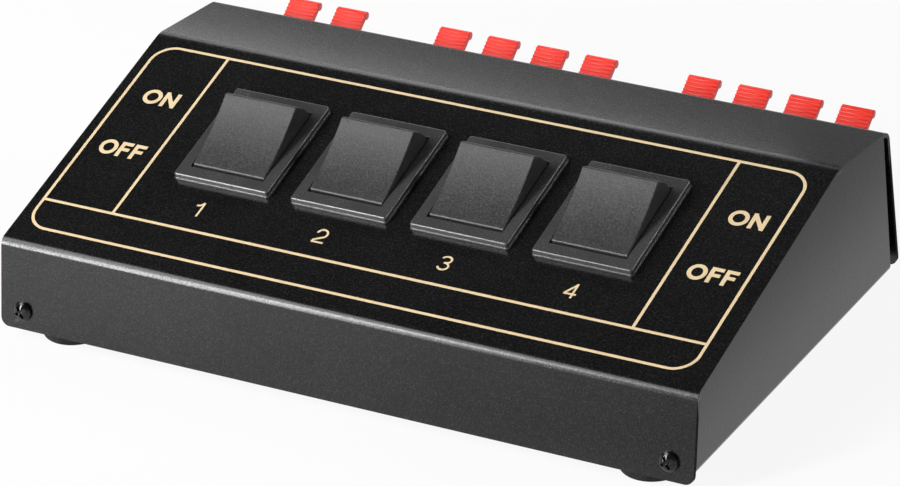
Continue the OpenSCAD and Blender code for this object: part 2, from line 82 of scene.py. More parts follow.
@dataclass(frozen=True)
class CaseOutline:
    """Side outline of the folded case, and the frames on its outer faces."""

    front_lean: float = 3.7
    front_h: float = 20.8
    slope_d: float = 72.1
    slope_h: float = 20.2
    top_d: float = 25.9
    foot_drop: float = 3.0
    depth_mid: float = 58.175

    @property
    def slope_angle(self) -> float:
        """Angle of the control panel above the horizontal, in radians."""
        return math.atan2(self.slope_h, self.slope_d)

    def slope_frame(self, x: float, up: float) -> Matrix:
        """Gives the frame on the control panel's surface at a place on it.

        Args:
            x: Distance to the right of the middle, in millimetres.
            up: Distance up the panel from the front fold, in millimetres.

        Returns:
            A matrix from that frame, in millimetres with z out of the panel, to the row frame.
        """
        angle = self.slope_angle
        origin = Vector(
            (
                x,
                self.front_lean + up * math.cos(angle) - self.depth_mid,
                self.front_h + up * math.sin(angle) + self.foot_drop,
            )
        )
        return (
            Matrix.Scale(MM, 4)
            @ Matrix.Translation(origin)
            @ Matrix.Rotation(angle, 4, "X")
        )


# ---- Shader node groups ----


def math_node(
    nodes: bpy.types.Nodes, operation: str, second: float | None = None
) -> bpy.types.Node:
    """Makes a node that works on two values.

    Args:
        nodes: The tree's nodes.
        operation: What it does with the two.
        second: The second value, where nothing is linked to it.

    Returns:
        The new node.
    """
    node = nodes.new("ShaderNodeMath")
    node.operation = operation
    if second is not None:
        node.inputs[1].default_value = second
    return node


def range_node(
    nodes: bpy.types.Nodes, start: Point = (0.0, 0.0), end: Point = (1.0, 1.0)
) -> bpy.types.Node:
    """Makes a node that maps one range of values to another, and holds the ends.

    Args:
        nodes: The tree's nodes.
        start: A value, and what it becomes.
        end: Another value, and what that becomes.

    Returns:
        The new node.
    """
    node = nodes.new("ShaderNodeMapRange")
    node.inputs["From Min"].default_value, node.inputs["To Min"].default_value = start
    node.inputs["From Max"].default_value, node.inputs["To Max"].default_value = end
    return node


def value_mix(nodes: bpy.types.Nodes) -> bpy.types.Node:
    """Makes a node that mixes two values.

    Args:
        nodes: The tree's nodes.

    Returns:
        The new node.
    """
    node = nodes.new("ShaderNodeMix")
    node.data_type = "FLOAT"
    return node


class ColourMix:
    """A node that mixes two colours, with its sockets for colours."""

    def __init__(self, nodes: bpy.types.Nodes) -> None:
        """Makes the node.

        Args:
            nodes: The tree's nodes.
        """
        node = nodes.new("ShaderNodeMix")
        node.data_type = "RGBA"
        colours = {s.name: s for s in node.inputs if s.type == "RGBA"}
        self.factor = node.inputs["Factor"]
        self.first = colours["A"]
        self.second = colours["B"]
        self.result = next(s for s in node.outputs if s.type == "RGBA")


class Effect(Enum):
    """Surface effects that more than one finish uses."""

    GRAIN = "fine_grain"
    DRIFT = "tone_drift"
    DUST = "settled_dust"


class EffectShelf:
    """Builds each shared effect once as a shader node group."""

    COARSE_SCALE = 0.31
    SPECKLE_FROM, SPECKLE_TO = 0.42, 0.66
    DRIFT_FROM, DRIFT_TO = 0.35, 0.65
    SPECK_OUTSIDE, SPECK_INSIDE = 0.16, 0.05
    STEEP, LEVEL = 0.3, 0.95

    def __init__(self) -> None:
        """Starts with no group built."""
        self._groups: dict[Effect, bpy.types.ShaderNodeTree] = {}

    def get(self, effect: Effect) -> bpy.types.ShaderNodeTree:
        """Returns an effect's group, and builds it on its first use.

        Args:
            effect: Which effect is wanted.

        Returns:
            The node group of that effect.
        """
        if effect not in self._groups:
            builders = {
                Effect.GRAIN: self._grain,
                Effect.DRIFT: self._drift,
                Effect.DUST: self._dust,
            }
            self._groups[effect] = builders[effect]()
        return self._groups[effect]

    @staticmethod
    def _start(
        name: str, inputs: dict[str, tuple[str, object]], outputs: dict[str, str]
    ) -> tuple[bpy.types.ShaderNodeTree, bpy.types.Node, bpy.types.Node]:
        """Makes an empty group with named sockets.

        Args:
            name: The group's name.
            inputs: Socket name to its type and default.
            outputs: Socket name to its type.

        Returns:
            The group, its input node and its output node.
        """
        group = bpy.data.node_groups.new(name, "ShaderNodeTree")
        for socket, (kind, default) in inputs.items():
            made = group.interface.new_socket(
                name=socket, in_out="INPUT", socket_type=kind
            )
            made.default_value = default
        for socket, kind in outputs.items():
            group.interface.new_socket(name=socket, in_out="OUTPUT", socket_type=kind)
        source = group.nodes.new("NodeGroupInput")
        sink = group.nodes.new("NodeGroupOutput")
        source.location, sink.location = (-900, 0), (600, 0)
        return group, source, sink

    def _grain(self) -> bpy.types.ShaderNodeTree:
        """Builds a moulded or sprayed grain of two sizes, as a height and a speckle mask."""
        group, source, sink = self._start(
            Effect.GRAIN.value,
            {
                "Scale": ("NodeSocketFloat", 2500.0),
                "Coarse Share": ("NodeSocketFloat", 0.4),
            },
            {"Height": "NodeSocketFloat", "Speckle": "NodeSocketFloat"},
        )
        nodes, links = group.nodes, group.links
        where = nodes.new("ShaderNodeTexCoord")
        fine = nodes.new("ShaderNodeTexNoise")
        fine.inputs["Detail"].default_value = 3.0
        fine.inputs["Roughness"].default_value = 0.6
        coarse = nodes.new("ShaderNodeTexNoise")
        coarse.inputs["Detail"].default_value = 2.0
        wider = math_node(nodes, "MULTIPLY", self.COARSE_SCALE)
        links.new(source.outputs["Scale"], fine.inputs["Scale"])
        links.new(source.outputs["Scale"], wider.inputs[0])
        links.new(wider.outputs[0], coarse.inputs["Scale"])
        links.new(where.outputs["Object"], fine.inputs["Vector"])
        links.new(where.outputs["Object"], coarse.inputs["Vector"])
        mix = value_mix(nodes)
        links.new(source.outputs["Coarse Share"], mix.inputs["Factor"])
        links.new(fine.outputs["Fac"], mix.inputs["A"])
        links.new(coarse.outputs["Fac"], mix.inputs["B"])
        speckle = range_node(nodes, (self.SPECKLE_FROM, 0.0), (self.SPECKLE_TO, 1.0))
        links.new(fine.outputs["Fac"], speckle.inputs["Value"])
        links.new(mix.outputs["Result"], sink.inputs["Height"])
        links.new(speckle.outputs["Result"], sink.inputs["Speckle"])
        return group

    def _drift(self) -> bpy.types.ShaderNodeTree:
        """Builds a slow change of tone over a surface, as a colour and a small mask."""
        group, source, sink = self._start(
            Effect.DRIFT.value,
            {
                "Base": ("NodeSocketColor", (0.5, 0.5, 0.5, 1.0)),
                "Other": ("NodeSocketColor", (0.5, 0.5, 0.5, 1.0)),
                "Scale": ("NodeSocketFloat", 40.0),
                "Speckle": ("NodeSocketFloat", 0.0),
                "Speckle Share": ("NodeSocketFloat", 0.3),
            },
            {"Color": "NodeSocketColor", "Mask": "NodeSocketFloat"},
        )
        nodes, links = group.nodes, group.links
        where = nodes.new("ShaderNodeTexCoord")
        cloud = nodes.new("ShaderNodeTexNoise")
        cloud.inputs["Detail"].default_value = 4.0
        links.new(where.outputs["Object"], cloud.inputs["Vector"])
        links.new(source.outputs["Scale"], cloud.inputs["Scale"])
        spread = range_node(nodes, (self.DRIFT_FROM, 0.0), (self.DRIFT_TO, 1.0))
        links.new(cloud.outputs["Fac"], spread.inputs["Value"])
        mix = value_mix(nodes)
        links.new(source.outputs["Speckle Share"], mix.inputs["Factor"])
        links.new(spread.outputs["Result"], mix.inputs["A"])
        links.new(source.outputs["Speckle"], mix.inputs["B"])
        tone = ColourMix(nodes)
        links.new(mix.outputs["Result"], tone.factor)
        links.new(source.outputs["Base"], tone.first)
        links.new(source.outputs["Other"], tone.second)
        links.new(tone.result, sink.inputs["Color"])
        links.new(mix.outputs["Result"], sink.inputs["Mask"])
        return group

    def _dust(self) -> bpy.types.ShaderNodeTree:
        """Builds sparse pale specks that lie on faces that look up, as a mask."""
        group, source, sink = self._start(
            Effect.DUST.value,
            {
                "Scale": ("NodeSocketFloat", 900.0),
                "Amount": ("NodeSocketFloat", 0.2),
            },
            {"Mask": "NodeSocketFloat"},
        )
        nodes, links = group.nodes, group.links
        where = nodes.new("ShaderNodeTexCoord")
        specks = nodes.new("ShaderNodeTexVoronoi")
        links.new(where.outputs["Object"], specks.inputs["Vector"])
        links.new(source.outputs["Scale"], specks.inputs["Scale"])
        near = range_node(nodes, (self.SPECK_OUTSIDE, 0.0), (self.SPECK_INSIDE, 1.0))
        links.new(specks.outputs["Distance"], near.inputs["Value"])
        shape = nodes.new("ShaderNodeNewGeometry")
        up = nodes.new("ShaderNodeSeparateXYZ")
        links.new(shape.outputs["Normal"], up.inputs["Vector"])
        level = range_node(nodes, (self.STEEP, 0.0), (self.LEVEL, 1.0))
        links.new(up.outputs["Z"], level.inputs["Value"])
        both = math_node(nodes, "MULTIPLY")
        links.new(near.outputs["Result"], both.inputs[0])
        links.new(level.outputs["Result"], both.inputs[1])
        share = math_node(nodes, "MULTIPLY")
        links.new(both.outputs[0], share.inputs[0])
        links.new(source.outputs["Amount"], share.inputs[1])
        links.new(share.outputs[0], sink.inputs["Mask"])
        return group


# ---- Finishes ----


DUST_COLOUR: Colour = (0.32, 0.31, 0.3)


@dataclass(frozen=True)
class Finish:
    """A solid finish with its grain, its change of tone and its gloss."""

    name: str
    base: Colour
    other: Colour
    roughness: float = 0.45
    roughness_other: float = 0.55
    metallic: float = 0.0
    specular: float = 0.5
    coat: float = 0.0
    coat_roughness: float = 0.1
    drift_scale: float = 40.0
    speckle_share: float = 0.3
    grain_scale: float = 2500.0
    grain_coarse: float = 0.4
    grain_depth: float = 0.02
    bump_strength: float = 0.3
    dust: float = 0.0

    def build(self, shelf: EffectShelf) -> bpy.types.Material:
        """Makes the material.

        Args:
            shelf: The shared effects.

        Returns:
            A new material with this finish.
        """
        material = bpy.data.materials.new(self.name)
        material.use_nodes = True
        nodes, links = material.node_tree.nodes, material.node_tree.links
        nodes.clear()
        surface = nodes.new("ShaderNodeBsdfPrincipled")
        out = nodes.new("ShaderNodeOutputMaterial")
        links.new(surface.outputs["BSDF"], out.inputs["Surface"])
        surface.inputs["Metallic"].default_value = self.metallic
        surface.inputs["Specular IOR Level"].default_value = self.specular
        surface.inputs["Coat Weight"].default_value = self.coat
        surface.inputs["Coat Roughness"].default_value = self.coat_roughness

        grain = self._group(nodes, shelf, Effect.GRAIN)
        grain.inputs["Scale"].default_value = self.grain_scale
        grain.inputs["Coarse Share"].default_value = self.grain_coarse
        drift = self._group(nodes, shelf, Effect.DRIFT)
        drift.inputs["Base"].default_value = (*self.base, 1.0)
        drift.inputs["Other"].default_value = (*self.other, 1.0)
        drift.inputs["Scale"].default_value = self.drift_scale
        drift.inputs["Speckle Share"].default_value = self.speckle_share
        links.new(grain.outputs["Speckle"], drift.inputs["Speckle"])

        rough = range_node(nodes, (0.0, self.roughness), (1.0, self.roughness_other))
        links.new(drift.outputs["Mask"], rough.inputs["Value"])
        links.new(rough.outputs["Result"], surface.inputs["Roughness"])

        bump = nodes.new("ShaderNodeBump")
        bump.inputs["Strength"].default_value = self.bump_strength
        bump.inputs["Distance"].default_value = self.grain_depth * MM
        links.new(grain.outputs["Height"], bump.inputs["Height"])
        links.new(bump.outputs["Normal"], surface.inputs["Normal"])

        colour = drift.outputs["Color"]
        if self.dust > 0.0:
            colour = self._dusted(material, shelf, colour)
        links.new(colour, surface.inputs["Base Color"])
        return material

    @staticmethod
    def _group(
        nodes: bpy.types.Nodes, shelf: EffectShelf, effect: Effect
    ) -> bpy.types.ShaderNodeGroup:
        """Places a shared effect in a material.

        Args:
            nodes: The material's nodes.
            shelf: The shared effects.
            effect: Which one to place.

        Returns:
            The group node.
        """
        node = nodes.new("ShaderNodeGroup")
        node.node_tree = shelf.get(effect)
        return node

    def _dusted(
        self,
        material: bpy.types.Material,
        shelf: EffectShelf,
        colour: bpy.types.NodeSocket,
    ) -> bpy.types.NodeSocket:
        """Lays pale specks of dust over a colour.

        Args:
            material: The material that is being made.
            shelf: The shared effects.
            colour: The colour under the dust.

        Returns:
            The socket with the dusted colour.
        """
        nodes, links = material.node_tree.nodes, material.node_tree.links
        dust = self._group(nodes, shelf, Effect.DUST)
        dust.inputs["Amount"].default_value = self.dust
        over = ColourMix(nodes)
        over.second.default_value = (*DUST_COLOUR, 1.0)
        links.new(dust.outputs["Mask"], over.factor)
        links.new(colour, over.first)
        return over.result


CASE_PAINT = Finish(
    "case_paint_black",
    base=(0.003, 0.003, 0.0032),
    other=(0.014, 0.014, 0.0145),
    roughness=0.2,
    roughness_other=0.3,
    specular=0.42,
    drift_scale=60.0,
    speckle_share=0.85,
    grain_scale=2300.0,
    grain_coarse=0.5,
    grain_depth=0.04,
    bump_strength=0.5,
    dust=0.015,
)
# Painted shade: near-black and dull, laid on the cover flanges' cut side edges in place of the
# shade there.
CUT_EDGE_PAINTED_SHADE = Finish(
    "case_paint_cut_edge_painted_shade",
    base=(0.002, 0.002, 0.002),
    other=(0.004, 0.004, 0.004),
    roughness=0.6,
    roughness_other=0.75,
    specular=0.05,
    grain_depth=0.01,
)
PRINT_GOLD = Finish(
    "print_gold",
    base=(0.79, 0.6, 0.355),
    other=(0.87, 0.69, 0.43),
    roughness=0.42,
    roughness_other=0.5,
    drift_scale=300.0,
    speckle_share=0.5,
    grain_scale=3500.0,
    grain_depth=0.01,
    bump_strength=0.2,
)
ROCKER_PLASTIC = Finish(
    "rocker_grained_black",
    base=(0.01, 0.01, 0.0105),
    other=(0.06, 0.06, 0.062),
    roughness=0.37,
    roughness_other=0.47,
    drift_scale=120.0,
    speckle_share=0.9,
    grain_scale=2600.0,
    grain_coarse=0.35,
    grain_depth=0.06,
    bump_strength=0.8,
    dust=0.25,
)
BEZEL_PLASTIC = Finish(
    "bezel_satin_black",
    base=(0.044, 0.044, 0.045),
    other=(0.062, 0.062, 0.063),
    roughness=0.22,
    roughness_other=0.3,
    specular=0.7,
    drift_scale=90.0,
    speckle_share=0.5,
    grain_scale=3200.0,
    grain_depth=0.02,
    bump_strength=0.2,
    dust=0.1,
)
BLOCK_PLASTIC = Finish(
    "terminal_block_black",
    base=(0.012, 0.012, 0.012),
    other=(0.018, 0.018, 0.018),
    roughness=0.38,
    roughness_other=0.46,
    drift_scale=120.0,
    grain_scale=3000.0,
    grain_depth=0.02,
    bump_strength=0.2,
    dust=0.1,
)
LEVER_RED = Finish(
    "lever_red",
    base=(0.92, 0.028, 0.014),
    other=(0.98, 0.046, 0.024),
    roughness=0.34,
    roughness_other=0.42,
    drift_scale=200.0,
    grain_scale=3000.0,
    grain_depth=0.012,
    bump_strength=0.15,
    coat=0.1,
    coat_roughness=0.25,
)
LEVER_BLACK = replace(
    LEVER_RED,
    name="lever_black",
    base=(0.012, 0.012, 0.012),
    other=(0.018, 0.018, 0.018),
    roughness=0.26,
    roughness_other=0.34,
    coat=0.25,
    coat_roughness=0.15,
)
FOOT_RUBBER = Finish(
    "foot_rubber",
    base=(0.006, 0.006, 0.006),
    other=(0.03, 0.03, 0.03),
    roughness=0.5,
    roughness_other=0.75,
    specular=0.15,
    drift_scale=500.0,
    speckle_share=0.5,
    grain_scale=1300.0,
    grain_coarse=0.8,
    grain_depth=0.25,
    bump_strength=0.9,
    dust=0.3,
)
SCREW_BLACK = Finish(
    "screw_black_gloss",
    base=(0.003, 0.003, 0.003),
    other=(0.006, 0.006, 0.006),
    roughness=0.12,
    roughness_other=0.18,
    specular=0.4,
    drift_scale=400.0,
    grain_scale=1800.0,
    grain_depth=0.02,
    bump_strength=0.25,
)
BRASS = Finish(
    "contact_brass",
    base=(0.72, 0.5, 0.2),
    other=(0.6, 0.4, 0.16),
    roughness=0.28,
    roughness_other=0.42,
    metallic=1.0,
    drift_scale=300.0,
    grain_scale=1500.0,
    grain_depth=0.01,
    bump_strength=0.2,
)
PLATED = replace(
    BRASS,
    name="contact_plated",
    base=(0.62, 0.61, 0.58),
    other=(0.5, 0.49, 0.46),
    roughness=0.25,
    roughness_other=0.4,
)
RIVET = replace(
    BRASS,
    name="rivet_metal",
    base=(0.56, 0.56, 0.57),
    other=(0.42, 0.42, 0.43),
    roughness=0.3,
    roughness_other=0.45,
    drift_scale=400.0,
    grain_depth=0.015,
    bump_strength=0.25,
)
LEAD_RED = Finish(
    "lead_cover_red",
    base=(0.36, 0.02, 0.015),
    other=(0.42, 0.03, 0.02),
    roughness=0.42,
    roughness_other=0.5,
    drift_scale=200.0,
    grain_scale=2000.0,
    grain_depth=0.01,
    bump_strength=0.15,
)


# ---- Mesh work ----


@dataclass(frozen=True)
class EdgeWork:
    """How a solid's edges are eased."""

    width: float = 0.2
    segments: int = 2
    sharp_from: float = 30.0
    weld: float = 0.0005
    clamp: bool = True


class PieceShop:
    """Makes detailed pieces and hangs them on the right bodies."""

    def __init__(self, nodes: dict[str, bpy.types.Object], shelf: EffectShelf) -> None:
        """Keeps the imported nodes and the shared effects.

        Args:
            nodes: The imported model's objects by node name.
            shelf: The shared effects.
        """
        self.nodes = nodes
        self.shelf = shelf
        self._materials: dict[str, bpy.types.Material] = {}

    def material(self, finish: Finish) -> bpy.types.Material:
        """Returns a finish's material, and makes it on its first use.

        Args:
            finish: The finish wanted.

        Returns:
            Its one material.
        """
        if finish.name not in self._materials:
            self._materials[finish.name] = finish.build(self.shelf)
        return self._materials[finish.name]

    def dress(self, node: str, finish: Finish) -> None:
        """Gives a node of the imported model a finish.

        Args:
            node: The node's name.
            finish: Its finish.
        """
        mesh = self.nodes[node].data
        mesh.materials.clear()
        mesh.materials.append(self.material(finish))
        LOG.info("node %s dressed as %s", node, finish.name)

    def eased(
        self,
        name: str,
        node: str,
        finish: Finish,
        slot: str,
        edges: EdgeWork,
        share: EdgeShare | None = None,
    ) -> bpy.types.Object:
        """Makes a piece of a node's own shape, with eased edges, that stands for the node.

        Args:
            name: The new piece's name.
            node: The node that it stands for.
            finish: Its finish.
            slot: The record's material slot. Not used.
            edges: How its edges are eased.
            share: Gives the share of the full width that an edge gets from its middle, if
                they differ.

        Returns:
            The new piece, riding on the node's body.
        """
        work = bmesh.new()
        work.from_mesh(self.nodes[node].data)
        bmesh.ops.remove_doubles(work, verts=work.verts, dist=edges.weld * MM)
        if share is not None:
            weights = work.edges.layers.float.new("bevel_weight_edge")
            for edge in work.edges:
                if edge.calc_face_angle(0.0) > math.radians(edges.sharp_from):
                    middle = (edge.verts[0].co + edge.verts[1].co) / 2
                    edge[weights] = share(middle)
        piece = self.finished(name, work, finish)
        bevel = piece.modifiers.new("eased_edges", "BEVEL")
        bevel.width = edges.width * MM
        bevel.segments = edges.segments
        bevel.limit_method = "ANGLE" if share is None else "WEIGHT"
        bevel.angle_limit = math.radians(edges.sharp_from)
        bevel.use_clamp_overlap = edges.clamp
        bevel.miter_outer = "MITER_ARC"
        bevel.loop_slide = False
        even = piece.modifiers.new("even_normals", "WEIGHTED_NORMAL")
        even.keep_sharp = True
        even.weight = 100
        body = self.nodes[node]["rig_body"]
        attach(piece, body)
        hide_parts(node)
        LOG.info("piece %s stands for %s on %s", name, node, body)
        return piece

    def finished(
        self, name: str, work: bmesh.types.BMesh, finish: Finish, smooth: bool = True
    ) -> bpy.types.Object:
        """Turns mesh work into an object with a finish.

        Args:
            name: The object's name.
            work: The mesh, which is freed.
            finish: Its finish.
            smooth: Whether its faces shade smoothly.

        Returns:
            The new object, linked to the scene.
        """
        bmesh.ops.recalc_face_normals(work, faces=work.faces)
        mesh = bpy.data.meshes.new(name)
        for face in work.faces:
            face.smooth = smooth
        work.to_mesh(mesh)
        work.free()
        mesh.materials.append(self.material(finish))
        piece = bpy.data.objects.new(name, mesh)
        bpy.context.scene.collection.objects.link(piece)
        return piece


# ---- Sub-assemblies ----


@dataclass
class CaseShell:
    """Folded cover, tray, screws and feet."""

    shop: PieceShop
    outline: CaseOutline
    sheet_edges: EdgeWork = EdgeWork(width=0.18, segments=3)
    screw_edges: EdgeWork = EdgeWork(width=0.12, segments=2)
    foot_edges: EdgeWork = EdgeWork(width=0.3, segments=2, sharp_from=50.0)
    sideways: float = 0.9

    def build(self) -> None:
        """Builds every piece of the shell."""
        shop = self.shop
        cover = shop.eased(
            "cover_sheet", "cover", CASE_PAINT, "case_paint", self.sheet_edges
        )
        self._paint_shade_on_cut_edges(cover)
        shop.eased(
            "tray_sheet", "base_tray", CASE_PAINT, "case_paint", self.sheet_edges
        )
        for place in ("front", "bottom"):
            shop.eased(
                f"{place}_screw_pair",
                f"{place}_screws",
                SCREW_BLACK,
                "screw_black",
                self.screw_edges,
            )
        for end in ("front", "rear"):
            for side in ("left", "right"):
                shop.eased(
                    f"bumper_{end}_{side}",
                    f"foot_{end}_{side}",
                    FOOT_RUBBER,
                    "foot_rubber",
                    self.foot_edges,
                )

    def _paint_shade_on_cut_edges(self, cover: bpy.types.Object) -> None:
        """Gives the cut side edges of the cover's two flanges a dull dark finish, as painted
        shade.

        Args:
            cover: The cover's piece.
        """
        case = self.outline
        front = (case.front_lean - case.depth_mid) * MM
        rear = front + (case.slope_d + case.top_d) * MM
        cover.data.materials.append(self.shop.material(CUT_EDGE_PAINTED_SHADE))
        work = bmesh.new()
        work.from_mesh(cover.data)
        for y in (front, rear):
            sides = [f for f in work.faces if abs(f.normal.x) > self.sideways]
            parts = sides + [e for f in sides for e in f.edges]
            parts += [v for f in sides for v in f.verts]
            bmesh.ops.bisect_plane(
                work,
                geom=list(dict.fromkeys(parts)),
                plane_co=(0.0, y, 0.0),
                plane_no=(0.0, 1.0, 0.0),
            )
        for face in work.faces:
            y = face.calc_center_median().y
            # Faces on the flanges' cut side edges take the painted shade finish.
            if abs(face.normal.x) > self.sideways and not front < y < rear:
                face.material_index = 1
        work.to_mesh(cover.data)
        work.free()


class Mark(Enum):
    """Printed characters."""

    LETTER_O = "O"
    LETTER_N = "N"
    LETTER_F = "F"
    DIGIT_1 = "1"
    DIGIT_2 = "2"
    DIGIT_3 = "3"
    DIGIT_4 = "4"


def arc(
    middle: Point, radii: Point, start: float, sweep: float, steps: int = 16
) -> list[Point]:
    """Gives points along part of an ellipse.

    Args:
        middle: The ellipse's middle.
        radii: Its half width and half height.
        start: Start angle in degrees, from +x towards +y.
        sweep: Angle swept in degrees.
        steps: Number of stretches.

    Returns:
        The points, both ends included.
    """
    points = []
    for k in range(steps + 1):
        angle = math.radians(start + sweep * k / steps)
        points.append(
            (
                middle[0] + radii[0] * math.cos(angle),
                middle[1] + radii[1] * math.sin(angle),
            )
        )
    return points


@dataclass(frozen=True)
class Stroke:
    """One line of print, open or closed."""

    points: tuple[Point, ...]
    closed: bool = False


@dataclass(frozen=True)
class Glyph:
    """One character's space and the pen that draws it, in millimetres."""

    RING_STEPS, BOWL_STEPS = 36, 18
    BAR_LIFT = 0.05

    x: float
    base: float
    width: float
    height: float
    pen: float

    @property
    def left(self) -> float:
        """The middle line of a stroke along the left edge."""
        return self.x + self.pen / 2

    @property
    def right(self) -> float:
        """The middle line of a stroke along the right edge."""
        return self.x + self.width - self.pen / 2

    @property
    def low(self) -> float:
        """The middle line of a stroke along the lower edge."""
        return self.base + self.pen / 2

    @property
    def high(self) -> float:
        """The middle line of a stroke along the upper edge."""
        return self.base + self.height - self.pen / 2

    @property
    def top(self) -> float:
        """The upper edge."""
        return self.base + self.height

    @property
    def middle(self) -> Point:
        """The middle."""
        return (self.left + self.right) / 2, (self.low + self.high) / 2

    @property
    def radii(self) -> Point:
        """Half the width and half the height between the middle lines."""
        return (self.right - self.left) / 2, (self.high - self.low) / 2

    def letter_o(self) -> list[Stroke]:
        """Returns an O as one closed ellipse."""
        ring = arc(self.middle, self.radii, 0.0, 360.0, self.RING_STEPS)
        return [Stroke(tuple(ring[:-1]), closed=True)]

    def letter_n(self) -> list[Stroke]:
        """Returns an N, whose diagonal starts a little inside its stems' ends."""
        out, inside = self.pen * 0.1, self.pen * 0.3
        start = (self.left - out, self.top - inside)
        end = (self.right + out, self.base + inside)
        return [
            Stroke(((self.left, self.base), (self.left, self.top))),
            Stroke(((self.right, self.base), (self.right, self.top))),
            Stroke((start, end)),
        ]

    def letter_f(self) -> list[Stroke]:
        """Returns an F with a shorter middle bar."""
        bar = self.middle[1] + self.BAR_LIFT
        return [
            Stroke(((self.left, self.base), (self.left, self.top))),
            Stroke(((self.left, self.high), (self.right + self.pen / 2, self.high))),
            Stroke(((self.left, bar), (self.right + self.pen * 0.2, bar))),
        ]

    def digit_1(self) -> list[Stroke]:
        """Returns a 1 with a bent flag."""
        flag = (
            (self.left - self.pen / 2, self.high - self.height * 0.2),
            (self.middle[0], self.high - self.height * 0.16),
            (self.right, self.top - self.pen * 0.1),
        )
        return [Stroke(((self.right, self.base), (self.right, self.top))), Stroke(flag)]

    def digit_2(self) -> list[Stroke]:
        """Returns a 2 as a bowl that runs down to its bar."""
        mx, rx = self.middle[0], self.radii[0]
        bowl = self.height * 0.29
        points = arc((mx, self.high - bowl), (rx, bowl), 175.0, -215.0, self.BOWL_STEPS)
        neck = (self.left, self.low + self.height * 0.12)
        bar_end = (self.right + self.pen / 2, self.low)
        return [Stroke((*points, neck, (self.left, self.low), bar_end))]

    def digit_3(self) -> list[Stroke]:
        """Returns a 3 as a narrower upper bowl and a wider lower one."""
        upper, lower = self.height * 0.215, self.height * 0.24
        mx, rx = self.middle[0], self.radii[0]
        waist = self.high - 2 * upper
        above, below = (mx, self.high - upper), (mx, waist - lower)
        head = arc(above, (rx * 0.92, upper), 165.0, -255.0, self.BOWL_STEPS)
        bowl = arc(below, (rx, lower), 90.0, -255.0, self.BOWL_STEPS)
        return [Stroke(tuple(head)), Stroke(((mx - rx * 0.25, waist), *bowl))]

    def digit_4(self) -> list[Stroke]:
        """Returns a 4 with its upright right of the middle."""
        sill = self.base + self.height * 0.27
        upright = self.x + self.width * 0.72
        return [
            Stroke(((upright, self.base), (upright, self.top))),
            Stroke(((self.x, sill), (self.x + self.width, sill))),
            Stroke(((upright, self.top - self.pen * 0.5), (self.x + self.pen * 0.3, sill))),
        ]


GLYPHS: dict[Mark, Callable[[Glyph], list[Stroke]]] = {
    Mark.LETTER_O: Glyph.letter_o,
    Mark.LETTER_N: Glyph.letter_n,
    Mark.LETTER_F: Glyph.letter_f,
    Mark.DIGIT_1: Glyph.digit_1,
    Mark.DIGIT_2: Glyph.digit_2,
    Mark.DIGIT_3: Glyph.digit_3,
    Mark.DIGIT_4: Glyph.digit_4,
}


